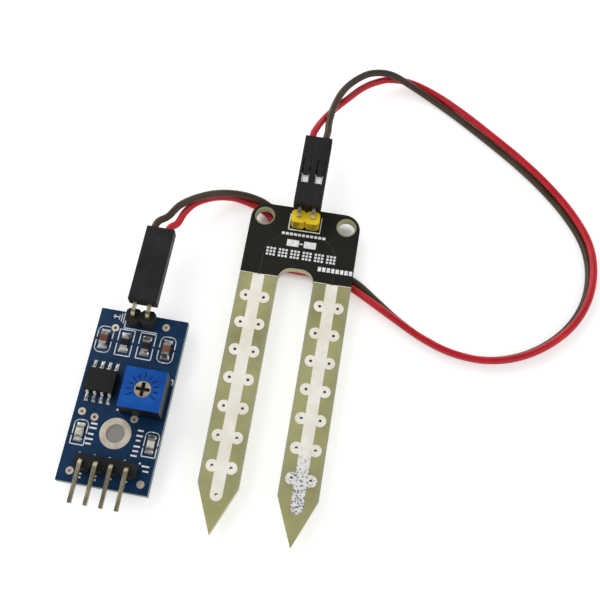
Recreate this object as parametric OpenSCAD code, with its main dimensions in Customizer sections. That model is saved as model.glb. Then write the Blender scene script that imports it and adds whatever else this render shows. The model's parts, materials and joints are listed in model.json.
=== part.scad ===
// Resistive soil moisture sensor: a two-prong probe and a comparator board, joined by a two-wire cable.
// Millimetres. +Z is up off the boards' faces, +Y runs from the probe's tips to its head.
// The origin is on the supporting surface, under the middle of the box round the two boards.

/* [Probe board] */
// Length from the head's edge to the tips
probe_l = 60; // [57:1:64]
// Width across both prongs
probe_w = 20; // [19:0.5:22]
// Thickness of both circuit boards
board_t = 1.6; // [1.2:0.1:1.6]
// Length of the head that the solder mask covers
head_l = 14; // [13.5:0.5:16]
// Radius of the head's corners
head_r = 3; // [1:0.5:4]
// Gap between the prongs
slot_w = 6.4; // [5:0.2:7]
// Distance from the head's edge to the end of the gap
slot_top = 12; // [11.5:0.1:13]
// Radius of the gap's corners
slot_r = 2.4; // [1:0.2:2.4]
// Length of each pointed tip
tip_l = 8; // [5:0.5:10]
// Diameter of the head's two mounting holes
probe_hole_d = 3.2; // [3:0.1:3.4]
// Distance between the centres of the head's mounting holes
probe_hole_spacing = 15; // [14:0.5:15]
// Distance from the head's edge to the centres of its mounting holes
probe_hole_inset = 2.5; // [2.5:0.1:3]

/* [Electrodes] */
// Width of the tinned strip
strip_w = 2.1; // [1.6:0.1:2.4]
// Diameter of each round pad
pad_d = 2.1; // [1.6:0.1:2.2]
// Rows of paired pads on each prong
pad_rows = 7; // [4:1:7]
// Distance between the rows of pads
pad_pitch = 5.1; // [4:0.1:5.1]
// Distance from the head's edge to the first row
pad_first = 18.4; // [17:0.2:19]
// Distance from the strip's middle to each pad's centre
pad_offset = 1.6; // [1.4:0.1:1.6]
// Distance from the head's edge to the centre of the strip's rounded end
strip_end = 53.6; // [52:0.2:54]

/* [Comparator board] */
// Length of the comparator board
module_l = 30.5; // [30:0.5:32]
// Width of the comparator board
module_w = 15.4; // [15:0.1:16]
// Diameter of its mounting hole
module_hole_d = 3.2; // [3:0.1:3.2]
// Diameter of the plated ring round that hole
ring_d = 5.3; // [4.5:0.1:5.4]
// How far the comparator board is turned from the probe's direction, in degrees
module_turn = -1; // [-3:0.5:0]

/* [Headers, plugs and wires] */
// Distance between header pins
pitch = 2.54; // [2.54]
// Side of the square header pins
pin_s = 0.64; // [0.6:0.02:0.64]
// Height of the horizontal pins' axis above the board
pin_rise = 3.3; // [3.2:0.1:3.6]
// Length of the horizontal pins from the upright legs
pin_reach = 7; // [6.5:0.1:7.2]
// Length of the plug housings
plug_l = 14; // [14]
// Diameter of each insulated wire
wire_d = 1.3; // [1.1:0.05:1.3]

/* [Trimmer] */
// Side of the square trimmer case
trimmer_w = 7; // [6.6:0.1:7]
// Height of the trimmer above its board
trimmer_h = 4.9; // [4.7:0.1:5.2]
// Diameter of the rotor that a screwdriver turns
rotor_d = 2.8; // [2.6:0.1:3.2]

/* [Hidden] */
$fn = 48;

// Boards stand on the cut ends of their header pins.
stub_l = 1.5;
board_z = stub_l;
foil_t = 0.05;
barrel_t = 0.2;
mask_t = 0.1;
via_r = 0.27;
via_wall = 0.1;
header_hole_r = 0.5;
header_pad_r = 0.85;
mask_gap = 0.1;
hole_mask_gap = 0.25;

// Header blocks
block_h = 2.5;
block_d = 2.5;
block_chamfer = 0.45;
bend_r = 0.7;
probe_header_y = -2.87;
input_header = [-0.2, 14];
output_header = [0.2, -11.9];
output_ways = 4;

// Plugs: a housing of two cavities with a crimped terminal in each
plug_w = 2 * pitch - 0.08;
plug_h = 2.5;
plug_corner_r = 0.25;
cavity_w = 1.95;
cavity_h = 1.9;
front_wall = 1.2;
socket_w = 1.1;
window_y = 4.3;
window_w = 1.3;
window_l = 1.6;
tongue_l = 3.1;
tongue_slot = 0.25;
terminal_w = 1.75;
terminal_h = 1.7;
terminal_wall = 0.2;
terminal_y = 1.3;
terminal_l = 5;
spring_gap = 0.72;
crimp_y = 8.2;
wire_start_y = 10.9;
probe_plug_y = -1.2;
module_plug_y = 16.2;

// Places on the comparator board, from its middle
module_hole = [0.1, -6.1];
chip_at = [-4.3, 2.1];
trimmer_at = [3.7, 0.9];
power_led_at = [-5.8, -6.9];
output_led_at = [6.3, -6.9];
small_parts_y = 9.65;
small_parts_x = [-5.9, -2.25, 1.45, 5.1];
vias = [[-4.5, 12], [4.1, 13.6], [-5.7, -13.4], [6.2, -13.6], [-6.3, -3.4], [-4, -4], [2.6, -3.2]];

// Trimmer inside
trimmer_foot = 0.3;
trimmer_lid = 0.9;
rotor_gap = 0.05;
flange_d = 5;
flange_h = 0.7;
axial_gap = 0.1;
base_h = 1;
track_h = 0.1;
trimmer_bore_d = 5.6;
trimmer_leg_r = 0.25;
trimmer_legs = [[-2.54, -2.2], [0, 2.2], [2.54, -2.2]];

// Layout: the box round both boards is centred on the origin.
board_spacing = 25;
module_drop = 40.3;
module_reach_x = module_w / 2 * cos(module_turn) + module_l / 2 * sin(abs(module_turn));
probe_x = (board_spacing + module_reach_x - probe_w / 2) / 2;
probe_y = (probe_l - (probe_header_y + pin_reach)) / 2;
module_x = probe_x - board_spacing;
module_y = probe_y - module_drop;
pin_z = board_z + board_t + pin_rise;
wire_r = wire_d / 2;
prong_x = (probe_w + slot_w) / 4;

// The cable's route as a pair of wires: x, y, height under the lower wire, roll, half the wires' spacing.
// At a roll of 0 the brown wire is on the left along the route; at 90 it is on top of the red one.
bonded = 0.66;
route_middle = [
    [-11.7, 20.3, 5.6, 0, 1.1],
    [-10.6, 22.9, 4.7, 40, 0.8],
    [-8.8, 25.6, 3.3, 75, bonded],
    [-6, 28, 1.6, 85, bonded],
    [-2.8, 29.2, 0.4, 80, bonded],
    [0.4, 29.1, 0, 55, bonded],
    [3.2, 28.3, 0, 20, bonded],
    [5.3, 26.8, 0, 0, bonded],
    [6.4, 24.5, 0, 0, bonded],
    [6.7, 22, 0, 0, bonded],
    [7.2, 19.5, 0, 0, bonded],
    [8.6, 17.7, 0, 0, bonded],
    [11.1, 17.25, 0, 0, bonded],
    [14.3, 17.3, 0, 0, bonded],
    [18.1, 17, 0, 0, bonded],
    [22.1, 15.3, 0, -5, bonded],
    [26, 12.7, 0, -40, bonded],
    [30.4, 9.8, 0, -65, bonded],
    [35.2, 7.2, 0, -70, bonded],
    [40.5, 5.4, 0, -70, bonded],
    [46.1, 5, 0, -70, bonded],
    [51.5, 6.3, 0, -70, bonded],
    [56.6, 9.3, 0, -70, bonded],
    [60.8, 13.7, 0, -70, bonded],
    [63.3, 18.9, 0, -70, bonded],
    [64, 24.7, 0, -65, bonded],
    [62.8, 30.4, 0, -55, bonded],
    [59.4, 35.9, 0, -50, bonded],
    [54.6, 41.1, 0, -45, bonded],
    [49.1, 45.8, 0, -40, bonded],
    [43.2, 50.1, 0, -40, bonded],
    [37.3, 54.2, 0, -30, bonded],
    [32, 57.5, 0.1, -5, bonded],
    [27.1, 59.2, 0.6, 35, 0.7],
    [22.9, 59.3, 1.4, 90, 0.85],
    [19.5, 57.9, 2.3, 130, 1],
    [16.9, 55.4, 3.2, 145, 1],
    [14.8, 52.1, 3.9, 135, 0.9],
    [13.1, 48.7, 4.1, 85, 0.7],
    [12.1, 45.6, 4.7, 30, 0.8],
    [11.7, 43, 5.6, 0, 1.15]
];
wire_sides = 8;

// ---- placing ----

// Probe frame: x across from the middle, y = 0 at the head's edge, z = 0 at the board's underside.
module at_probe() {
    translate([probe_x, probe_y, board_z])
        children();
}

// Comparator board frame: from the board's middle, z = 0 at its underside.
module at_module() {
    translate([module_x, module_y, board_z])
        rotate([0, 0, module_turn])
            children();
}

// Plug frame: y = 0 at the housing's front, z = 0 on the pins' axis.
module at_probe_plug() {
    at_probe()
        translate([0, probe_plug_y, board_t + pin_rise])
            children();
}

module at_module_plug() {
    at_module()
        translate([input_header.x, module_plug_y, board_t + pin_rise])
            children();
}

module for_sides() {
    for (side = [-1, 1])
        translate([side * pitch / 2, 0, 0])
            children();
}

// ---- flat shapes ----

// A bar of width w with round ends at p and q
module bar(p, q, w) {
    run = q - p;
    translate(p)
        rotate([0, 0, atan2(run.y, run.x)])
            translate([0, -w / 2])
                square([norm(run), w]);
    translate(p)
        circle(d = w);
    translate(q)
        circle(d = w);
}

module rounded_square(w, h, r) {
    square([w - 2 * r, h], center = true);
    square([w, h - 2 * r], center = true);
    for (sx = [-1, 1], sy = [-1, 1])
        translate([sx * (w / 2 - r), sy * (h / 2 - r)])
            circle(r = r);
}

// ---- probe ----

module probe_outline() {
    translate([0, -probe_l / 2])
        rounded_square(probe_w, probe_l, head_r);
}

module prong_point(side) {
    polygon([
        [side * slot_w / 2, -probe_l + tip_l],
        [side * probe_w / 2, -probe_l + tip_l],
        [side * prong_x, -probe_l],
    ]);
}

module slot_outline() {
    translate([0, -slot_top - probe_l / 2])
        rounded_square(slot_w, probe_l, slot_r);
}

module fork_outline() {
    difference() {
        intersection() {
            probe_outline();
            translate([-probe_w / 2, -probe_l + tip_l])
                square([probe_w, probe_l]);
        }
        slot_outline();
    }
    for (side = [-1, 1])
        prong_point(side);
}

function pad_y(row) = -pad_first - row * pad_pitch;

module for_vias(side) {
    for (row = [0:pad_rows - 1], across = [-1, 1])
        translate([side * prong_x + across * pad_offset, pad_y(row)])
            children();
    translate([side * prong_x, -strip_end])
        children();
}

module at_probe_holes() {
    for (side = [-1, 1])
        translate([side * probe_hole_spacing / 2, -probe_hole_inset])
            children();
}

module at_probe_legs() {
    translate([0, probe_header_y])
        for_sides()
            children();
}

module probe_board() {
    color("darkkhaki")
        at_probe()
            difference() {
                linear_extrude(board_t)
                    fork_outline();
                translate([0, 0, -1]) {
                    at_probe_holes()
                        cylinder(d = probe_hole_d, h = board_t + 2);
                    at_probe_legs()
                        cylinder(r = header_hole_r, h = board_t + 2);
                    for (side = [-1, 1])
                        for_vias(side)
                            cylinder(r = via_r + via_wall, h = board_t + 2);
                }
            }
}

module mask_outline() {
    difference() {
        intersection() {
            fork_outline();
            translate([-probe_w / 2, -head_l])
                square([probe_w, head_l]);
        }
        at_probe_holes()
            circle(d = probe_hole_d + 2 * hole_mask_gap);
        at_probe_legs()
            circle(r = header_pad_r + mask_gap);
    }
}

module strip_outline(side) {
    bar([side * prong_x, -head_l], [side * prong_x, -strip_end], strip_w);
    for_vias(side)
        circle(d = pad_d);
}

// The track that joins a strip to its header pin, under the mask
module track_outline(side) {
    track_w = 1;
    shoulder = [side * prong_x, -head_l + 4];
    bar([side * prong_x, -head_l], shoulder, track_w);
    bar(shoulder, [side * pitch / 2, probe_header_y - 1.6], track_w);
    bar([side * pitch / 2, probe_header_y - 1.6], [side * pitch / 2, probe_header_y], track_w);
}

module header_pad(side) {
    translate([side * pitch / 2, probe_header_y])
        circle(r = header_pad_r);
}

module front_foil(side) {
    translate([0, 0, board_t])
        linear_extrude(foil_t) {
            strip_outline(side);
            track_outline(side);
            header_pad(side);
        }
}

// Strips on both faces and the plated holes that join them
module electrode(side) {
    color("gainsboro")
        at_probe()
            difference() {
                union() {
                    front_foil(side);
                    translate([0, 0, -foil_t])
                        linear_extrude(foil_t) {
                            strip_outline(side);
                            header_pad(side);
                        }
                    for_vias(side)
                        cylinder(r = via_r + via_wall, h = board_t);
                    translate([side * pitch / 2, probe_header_y, 0])
                        difference() {
                            cylinder(r = header_hole_r, h = board_t);
                            cylinder(r = header_hole_r - 0.02, h = board_t);
                        }
                }
                translate([0, 0, -1]) {
                    for_vias(side)
                        cylinder(r = via_r, h = board_t + 2);
                    translate([side * pitch / 2, probe_header_y])
                        cylinder(r = header_hole_r - 0.02, h = board_t + 2);
                }
            }
}

module electrode_left() {
    electrode(-1);
}

module electrode_right() {
    electrode(1);
}

module probe_mask_front() {
    color([0.13, 0.12, 0.11])
        at_probe()
            difference() {
                translate([0, 0, board_t])
                    linear_extrude(mask_t)
                        mask_outline();
                front_foil(-1);
                front_foil(1);
            }
}

module probe_mask_back() {
    color([0.13, 0.12, 0.11])
        at_probe()
            difference() {
                translate([0, 0, -mask_t])
                    linear_extrude(mask_t)
                        mask_outline();
                for (side = [-1, 1])
                    translate([0, 0, -foil_t])
                        linear_extrude(foil_t)
                            strip_outline(side);
            }
}

// ---- header parts, shared by both boards ----

module header_block(ways, base_z) {
    translate([0, 0, base_z])
        difference() {
            for (way = [0:ways - 1])
                translate([(way - (ways - 1) / 2) * pitch, 0, 0])
                    linear_extrude(block_h)
                        block_unit();
            for (way = [0:ways - 1])
                translate([(way - (ways - 1) / 2) * pitch, 0, block_h / 2])
                    cube([pin_s, pin_s, block_h + 1], center = true);
        }
}

module block_unit() {
    w = pitch / 2;
    d = block_d / 2;
    c = block_chamfer;
    polygon([
        [-w, -d + c], [-w + c, -d], [w - c, -d], [w, -d + c],
        [w, d - c], [w - c, d], [-w + c, d], [-w, d - c],
    ]);
}

// Upright leg through the board, a round bend, and the horizontal pin towards +Y
module bent_pin() {
    bend_z = board_t + pin_rise - bend_r;
    translate([-pin_s / 2, -pin_s / 2, -stub_l])
        cube([pin_s, pin_s, stub_l + bend_z]);
    translate([0, bend_r, bend_z])
        rotate([90, 0, 90])
            rotate([0, 0, 90])
                rotate_extrude(angle = 90)
                    translate([bend_r - pin_s / 2, -pin_s / 2])
                        square(pin_s);
    translate([-pin_s / 2, bend_r, board_t + pin_rise - pin_s / 2])
        cube([pin_s, pin_reach - bend_r, pin_s]);
}

// Solder that fills the hole and stands as a cone round the leg's cut end
module solder_joint(pad_r, hole_r, leg_s, skin) {
    cone_h = 0.9;
    difference() {
        union() {
            translate([0, 0, -skin])
                cylinder(r = hole_r, h = board_t + skin);
            translate([0, 0, -skin - cone_h])
                cylinder(r1 = leg_s / 2 + 0.15, r2 = pad_r - 0.05, h = cone_h);
        }
        cube([leg_s, leg_s, 4 * board_t], center = true);
    }
}

module probe_header_block() {
    color("gold")
        at_probe()
            translate([0, probe_header_y, 0])
                header_block(2, board_t + mask_t);
}

module probe_pin(side) {
    color("lightgrey")
        at_probe()
            translate([side * pitch / 2, probe_header_y, 0])
                bent_pin();
}

module probe_pin_left() {
    probe_pin(-1);
}

module probe_pin_right() {
    probe_pin(1);
}

module probe_solder_joints() {
    color("silver")
        at_probe()
            at_probe_legs()
                solder_joint(header_pad_r, header_hole_r - 0.02, pin_s, foil_t);
}

// ---- plugs ----

module tongue_slots() {
    for (edge = [-1, 1])
        translate([edge * window_w / 2 - tongue_slot / 2, window_y + window_l - 0.1, 0])
            cube([tongue_slot, tongue_l + 0.1, plug_h]);
}

module plug_housing() {
    color([0.1, 0.1, 0.11])
        difference() {
            rotate([-90, 0, 0])
                linear_extrude(plug_l)
                    rounded_square(plug_w, plug_h, plug_corner_r);
            for_sides() {
                translate([-cavity_w / 2, front_wall, -cavity_h / 2])
                    cube([cavity_w, plug_l, cavity_h]);
                translate([-socket_w / 2, -1, -socket_w / 2])
                    cube([socket_w, front_wall + 2, socket_w]);
                translate([-window_w / 2, window_y, 0])
                    cube([window_w, window_l, plug_h]);
                tongue_slots();
            }
        }
}

// A crimped socket: a folded box with two leaf springs, a neck and the crimped barrel
module plug_terminal(side) {
    spring_h = (terminal_h - 2 * terminal_wall - spring_gap) / 2;
    color("silver")
        translate([side * pitch / 2, 0, 0]) {
            translate([0, terminal_y, 0])
                difference() {
                    translate([-terminal_w / 2, 0, -terminal_h / 2])
                        cube([terminal_w, terminal_l, terminal_h]);
                    translate([-terminal_w / 2 + terminal_wall, -1, -terminal_h / 2 + terminal_wall])
                        cube([terminal_w - 2 * terminal_wall, terminal_l + 2, terminal_h - 2 * terminal_wall]);
                }
            for (face = [-1, 1])
                translate([0, terminal_y + 1.6, face * (spring_gap + spring_h) / 2])
                    cube([1, 1.6, spring_h], center = true);
            translate([-0.6, terminal_y + terminal_l - 0.1, -terminal_h / 2])
                cube([1.2, crimp_y - terminal_y - terminal_l + 0.6, 0.25]);
            translate([0, crimp_y, 0])
                rotate([-90, 0, 0])
                    cylinder(r = 0.75, h = wire_start_y - crimp_y);
            translate([-0.6, crimp_y, -terminal_h / 2])
                cube([1.2, 1.5, 0.4]);
        }
}

module probe_plug_housing() {
    at_probe_plug()
        plug_housing();
}

// The brown wire is at +X on the probe's plug and at -X on the board's plug.
module probe_plug_terminal_red() {
    at_probe_plug()
        plug_terminal(-1);
}

module probe_plug_terminal_brown() {
    at_probe_plug()
        plug_terminal(1);
}

module module_plug_housing() {
    at_module_plug()
        mirror([0, 0, 1])
            plug_housing();
}

module module_plug_terminal_red() {
    at_module_plug()
        plug_terminal(1);
}

module module_plug_terminal_brown() {
    at_module_plug()
        plug_terminal(-1);
}

// ---- wires ----

function turned(p, angle) = [p.x * cos(angle) - p.y * sin(angle), p.x * sin(angle) + p.y * cos(angle)];
function module_point(p) = [module_x, module_y] + turned(p, module_turn);
function plug_entry(p) = [p.x, p.y, pin_z - wire_r, 0, pitch / 2];

exit_l = 0.8;
route = concat(
    [for (y = [wire_start_y, plug_l + exit_l]) plug_entry(module_point([input_header.x, module_plug_y + y]))],
    route_middle,
    [for (y = [plug_l + exit_l, wire_start_y]) plug_entry([probe_x, probe_y + probe_plug_y + y])]
);
last = len(route) - 1;

function flat(p) = [p.x, p.y];
function unit(v) = v / norm(v);
function heading(i) = unit(flat(route[min(i + 1, last)]) - flat(route[max(i - 1, 0)]));
function leftward(i) = [-heading(i).y, heading(i).x];
function pair_z(e) = e[2] + wire_r + e[4] * abs(sin(e[3]));
function offset_left(e, side) = side * e[4] * cos(e[3]);
function offset_up(e, side) = side * e[4] * sin(e[3]);
function wire_point(i, side) =
    let (e = route[i], p = flat(e) + offset_left(e, side) * leftward(i))
    [p.x, p.y, pair_z(e) + offset_up(e, side)];

function along(points, i) = unit(points[min(i + 1, last)] - points[max(i - 1, 0)]);
function ring(points, i) =
    let (
        ahead = along(points, i),
        across = unit(cross(ahead, [0, 0, 1])),
        above = cross(across, ahead)
    )
    [
        for (k = [0:wire_sides - 1])
            let (a = 360 * (k + 0.5) / wire_sides)
            points[i] + wire_r * (cos(a) * across + sin(a) * above)
    ];

module wire(side) {
    points = [for (i = [0:last]) wire_point(i, side)];
    rings = [for (i = [0:last]) each ring(points, i)];
    sides = [
        for (i = [0:last - 1], k = [0:wire_sides - 1])
            let (a = i * wire_sides + k, b = i * wire_sides + (k + 1) % wire_sides)
            [a, b, b + wire_sides, a + wire_sides]
    ];
    start_cap = [[for (k = [wire_sides - 1:-1:0]) k]];
    end_cap = [[for (k = [0:wire_sides - 1]) last * wire_sides + k]];
    polyhedron(points = rings, faces = concat(sides, start_cap, end_cap));
}

module wire_red() {
    color("firebrick")
        wire(-1);
}

module wire_brown() {
    color([0.3, 0.25, 0.18])
        wire(1);
}

// ---- comparator board ----

module at_module_legs(header, ways) {
    for (way = [0:ways - 1])
        translate([header.x + (way - (ways - 1) / 2) * pitch, header.y])
            children();
}

module at_trimmer_legs() {
    for (leg = trimmer_legs)
        translate(trimmer_at + leg)
            children();
}

module module_board() {
    color([0.08, 0.2, 0.4])
        at_module()
            difference() {
                translate([-module_w / 2, -module_l / 2, 0])
                    cube([module_w, module_l, board_t]);
                translate([0, 0, -1]) {
                    translate(module_hole)
                        cylinder(d = module_hole_d + 2 * barrel_t, h = board_t + 2);
                    at_module_legs(input_header, 2)
                        cylinder(r = header_hole_r, h = board_t + 2);
                    at_module_legs(output_header, output_ways)
                        cylinder(r = header_hole_r, h = board_t + 2);
                    at_trimmer_legs()
                        cylinder(r = header_hole_r, h = board_t + 2);
                    for (via = vias)
                        translate(via)
                            cylinder(r = via_r + via_wall, h = board_t + 2);
                }
            }
}

// A ring on each face and the plated wall that joins them
module plated_hole(pad_r, wall_r, hole_r) {
    difference() {
        union() {
            translate([0, 0, -foil_t])
                cylinder(r = pad_r, h = foil_t);
            cylinder(r = wall_r, h = board_t);
            translate([0, 0, board_t])
                cylinder(r = pad_r, h = foil_t);
        }
        translate([0, 0, -1])
            cylinder(r = hole_r, h = board_t + 2);
    }
}

module mounting_hole_plating() {
    color("gainsboro")
        at_module()
            translate(module_hole)
                plated_hole(ring_d / 2, module_hole_d / 2 + barrel_t, module_hole_d / 2);
}

module via_platings() {
    via_pad_r = 0.65;
    color("gainsboro")
        at_module()
            for (via = vias)
                translate(via)
                    plated_hole(via_pad_r, via_r + via_wall, via_r);
}

module input_header_block() {
    color([0.1, 0.1, 0.11])
        at_module()
            translate(input_header)
                header_block(2, board_t);
}

module input_pin(side) {
    color("lightgrey")
        at_module()
            translate([input_header.x + side * pitch / 2, input_header.y, 0])
                bent_pin();
}

module input_pin_left() {
    input_pin(-1);
}

module input_pin_right() {
    input_pin(1);
}

module output_header_block() {
    color([0.1, 0.1, 0.11])
        at_module()
            translate(output_header)
                header_block(output_ways, board_t);
}

module output_pin(way) {
    color("lightgrey")
        at_module()
            translate([output_header.x + (way - (output_ways - 1) / 2) * pitch, output_header.y, 0])
                rotate([0, 0, 180])
                    bent_pin();
}

module output_pin_supply() {
    output_pin(0);
}

module output_pin_ground() {
    output_pin(1);
}

module output_pin_digital() {
    output_pin(2);
}

module output_pin_analogue() {
    output_pin(3);
}

module module_solder_joints() {
    color("silver")
        at_module() {
            at_module_legs(input_header, 2)
                solder_joint(header_pad_r, header_hole_r, pin_s, 0);
            at_module_legs(output_header, output_ways)
                solder_joint(header_pad_r, header_hole_r, pin_s, 0);
            at_trimmer_legs()
                solder_joint(header_pad_r, header_hole_r, 2 * trimmer_leg_r, 0);
        }
}

// Eight-lead comparator chip
chip_l = 4.9;
chip_w = 3.9;
chip_h = 1.45;
chip_lift = 0.1;
lead_w = 0.42;
lead_t = 0.2;
lead_span = 6;
lead_pitch = 1.27;

module comparator_body() {
    color([0.16, 0.15, 0.14])
        at_module()
            translate([chip_at.x, chip_at.y, board_t + chip_lift + chip_h / 2])
                cube([chip_l, chip_w, chip_h], center = true);
}

module gull_lead() {
    shoulder = 0.3;
    foot = 0.7;
    shoulder_z = 0.75;
    outer = (lead_span - chip_w) / 2;
    translate([-lead_w / 2, chip_w / 2, shoulder_z])
        cube([lead_w, shoulder, lead_t]);
    translate([-lead_w / 2, chip_w / 2 + shoulder - lead_t, 0])
        cube([lead_w, lead_t, shoulder_z + lead_t]);
    translate([-lead_w / 2, chip_w / 2 + outer - foot - 0.1, 0])
        cube([lead_w, foot + 0.1, lead_t]);
}

module comparator_leads() {
    color("silver")
        at_module()
            translate([chip_at.x, chip_at.y, board_t])
                for (turn = [0, 180], lead = [-1.5:1:1.5])
                    rotate([0, 0, turn])
                        translate([lead * lead_pitch, 0, 0])
                            gull_lead();
}

// Small two-ended parts, each with its long side along the board
chip_part_l = 2;
chip_part_w = 1.25;
end_cap_l = 0.4;
resistor_h = 0.5;
capacitor_h = 0.85;
led_h = 0.45;

module chip_part(at, h) {
    at_module()
        translate([at.x, at.y, board_t + h / 2])
            cube([chip_part_w, chip_part_l - 2 * end_cap_l, h], center = true);
}

module end_caps(at, h) {
    for (end = [-1, 1])
        translate([at.x, at.y + end * (chip_part_l - end_cap_l) / 2, board_t + h / 2])
            cube([chip_part_w, end_cap_l, h], center = true);
}

module supply_capacitor() {
    color([0.42, 0.28, 0.2])
        chip_part([small_parts_x[0], small_parts_y], capacitor_h);
}

module led_resistor() {
    color([0.12, 0.12, 0.12])
        chip_part([small_parts_x[1], small_parts_y], resistor_h);
}

module pull_up_resistor() {
    color([0.12, 0.12, 0.12])
        chip_part([small_parts_x[2], small_parts_y], resistor_h);
}

module signal_capacitor() {
    color([0.42, 0.28, 0.2])
        chip_part([small_parts_x[3], small_parts_y], capacitor_h);
}

module chip_end_caps() {
    color("silver")
        at_module() {
            end_caps([small_parts_x[0], small_parts_y], capacitor_h);
            end_caps([small_parts_x[1], small_parts_y], resistor_h);
            end_caps([small_parts_x[2], small_parts_y], resistor_h);
            end_caps([small_parts_x[3], small_parts_y], capacitor_h);
            end_caps(power_led_at, led_h);
            end_caps(output_led_at, led_h);
        }
}

module led_base(at) {
    color("ivory")
        chip_part(at, led_h);
}

module led_lens(at) {
    lens_h = 0.35;
    lens_w = 1.15;
    color([0.9, 0.95, 0.9, 0.6])
        at_module()
            translate([at.x, at.y, board_t + led_h + lens_h / 2])
                cube([lens_w, lens_w, lens_h], center = true);
}

module power_led_base() {
    led_base(power_led_at);
}

module power_led_lens() {
    led_lens(power_led_at);
}

module output_led_base() {
    led_base(output_led_at);
}

module output_led_lens() {
    led_lens(output_led_at);
}

// ---- trimmer ----

lid_z = board_t + trimmer_h - trimmer_lid;
base_z = board_t + trimmer_foot;
flange_top = lid_z - axial_gap;

module at_trimmer() {
    at_module()
        translate(trimmer_at)
            children();
}

module trimmer_case() {
    wall = 0.4;
    inner = trimmer_w - 2 * wall;
    color("royalblue")
        at_trimmer()
            difference() {
                translate([-trimmer_w / 2, -trimmer_w / 2, board_t])
                    cube([trimmer_w, trimmer_w, trimmer_h]);
                translate([-inner / 2, -inner / 2, board_t - 1])
                    cube([inner, inner, 1 + trimmer_foot + base_h]);
                cylinder(d = trimmer_bore_d, h = lid_z);
                cylinder(d = rotor_d + 2 * rotor_gap, h = board_t + trimmer_h + 1);
            }
}

module trimmer_base() {
    w = trimmer_w - 0.8;
    color("linen")
        at_trimmer()
            difference() {
                translate([-w / 2, -w / 2, base_z])
                    cube([w, w, base_h]);
                for (leg = trimmer_legs)
                    translate([leg.x, leg.y, 0])
                        cylinder(r = trimmer_leg_r, h = base_z + base_h / 2);
            }
}

// Open ring of resistive film with the centre contact inside it
module trimmer_track() {
    color([0.15, 0.13, 0.12])
        at_trimmer()
            translate([0, 0, base_z + base_h]) {
                rotate([0, 0, -30])
                    rotate_extrude(angle = 240)
                        translate([1.7, 0])
                            square([0.7, track_h]);
                cylinder(r = 0.7, h = track_h);
            }
}

module trimmer_leads() {
    color("silver")
        at_trimmer()
            for (leg = trimmer_legs)
                translate([leg.x, leg.y, -1.2])
                    cylinder(r = trimmer_leg_r, h = 1.2 + base_z + base_h / 2);
}

// Slotted rotor held under the lid by its flange
module trimmer_rotor() {
    cross_w = 0.6;
    cross_d = 0.6;
    rotor_top = board_t + trimmer_h - 0.1;
    color("goldenrod")
        at_trimmer()
            difference() {
                union() {
                    translate([0, 0, flange_top - flange_h])
                        cylinder(d = flange_d, h = flange_h);
                    translate([0, 0, flange_top - flange_h])
                        cylinder(d = rotor_d, h = rotor_top - flange_top + flange_h);
                }
                for (turn = [0, 90])
                    rotate([0, 0, turn])
                        translate([0, 0, rotor_top])
                            cube([rotor_d - 0.4, cross_w, 2 * cross_d], center = true);
            }
}

// Spring contact under the rotor that bridges the film and the centre contact
module trimmer_wiper() {
    gap = 0.04;
    low = base_z + base_h + track_h + gap;
    high = flange_top - flange_h;
    color("peru")
        at_trimmer() {
            translate([0, 0, low])
                cylinder(r = 0.5, h = high - low);
            translate([-0.3, 0, high - 0.2])
                cube([0.6, 2.2, 0.2]);
            translate([-0.3, 1.8, low])
                cube([0.6, 0.4, high - low]);
        }
}

probe_board();
probe_mask_front();
probe_mask_back();
electrode_left();
electrode_right();
probe_header_block();
probe_pin_left();
probe_pin_right();
probe_solder_joints();
probe_plug_housing();
probe_plug_terminal_red();
probe_plug_terminal_brown();
wire_red();
wire_brown();
module_plug_housing();
module_plug_terminal_red();
module_plug_terminal_brown();
module_board();
mounting_hole_plating();
via_platings();
input_header_block();
input_pin_left();
input_pin_right();
output_header_block();
output_pin_supply();
output_pin_ground();
output_pin_digital();
output_pin_analogue();
module_solder_joints();
comparator_body();
comparator_leads();
supply_capacitor();
led_resistor();
pull_up_resistor();
signal_capacitor();
chip_end_caps();
power_led_base();
power_led_lens();
output_led_base();
output_led_lens();
trimmer_case();
trimmer_base();
trimmer_track();
trimmer_leads();
trimmer_rotor();
trimmer_wiper();
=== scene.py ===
import json
import math

import bpy
from mathutils import Matrix, Vector


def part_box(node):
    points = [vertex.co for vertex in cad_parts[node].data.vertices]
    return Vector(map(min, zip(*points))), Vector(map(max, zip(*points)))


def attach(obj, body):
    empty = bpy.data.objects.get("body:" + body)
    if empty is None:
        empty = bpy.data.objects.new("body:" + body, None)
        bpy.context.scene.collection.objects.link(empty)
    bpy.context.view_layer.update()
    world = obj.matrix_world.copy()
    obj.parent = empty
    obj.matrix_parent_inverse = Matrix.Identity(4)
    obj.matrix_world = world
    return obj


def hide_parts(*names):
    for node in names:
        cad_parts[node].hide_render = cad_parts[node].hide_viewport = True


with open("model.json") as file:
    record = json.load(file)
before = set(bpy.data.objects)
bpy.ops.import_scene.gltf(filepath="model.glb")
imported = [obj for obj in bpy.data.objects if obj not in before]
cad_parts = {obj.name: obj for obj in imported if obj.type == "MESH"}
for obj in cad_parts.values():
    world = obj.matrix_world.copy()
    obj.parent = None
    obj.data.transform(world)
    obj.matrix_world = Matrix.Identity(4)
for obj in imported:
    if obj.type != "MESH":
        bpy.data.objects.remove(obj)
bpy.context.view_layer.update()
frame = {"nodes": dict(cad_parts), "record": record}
nodes = frame["nodes"]
MM = 0.001

# ---- where the boards are, from the frame ----

lo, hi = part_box("probe_board")
PROBE_AT = Vector(((lo.x + hi.x) / 2, hi.y, lo.z))
lo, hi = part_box("module_board")
MODULE_AT = Vector(((lo.x + hi.x) / 2, (lo.y + hi.y) / 2, lo.z))
MODULE_TURN = Matrix.Rotation(math.radians(-1), 3, "Z")

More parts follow.
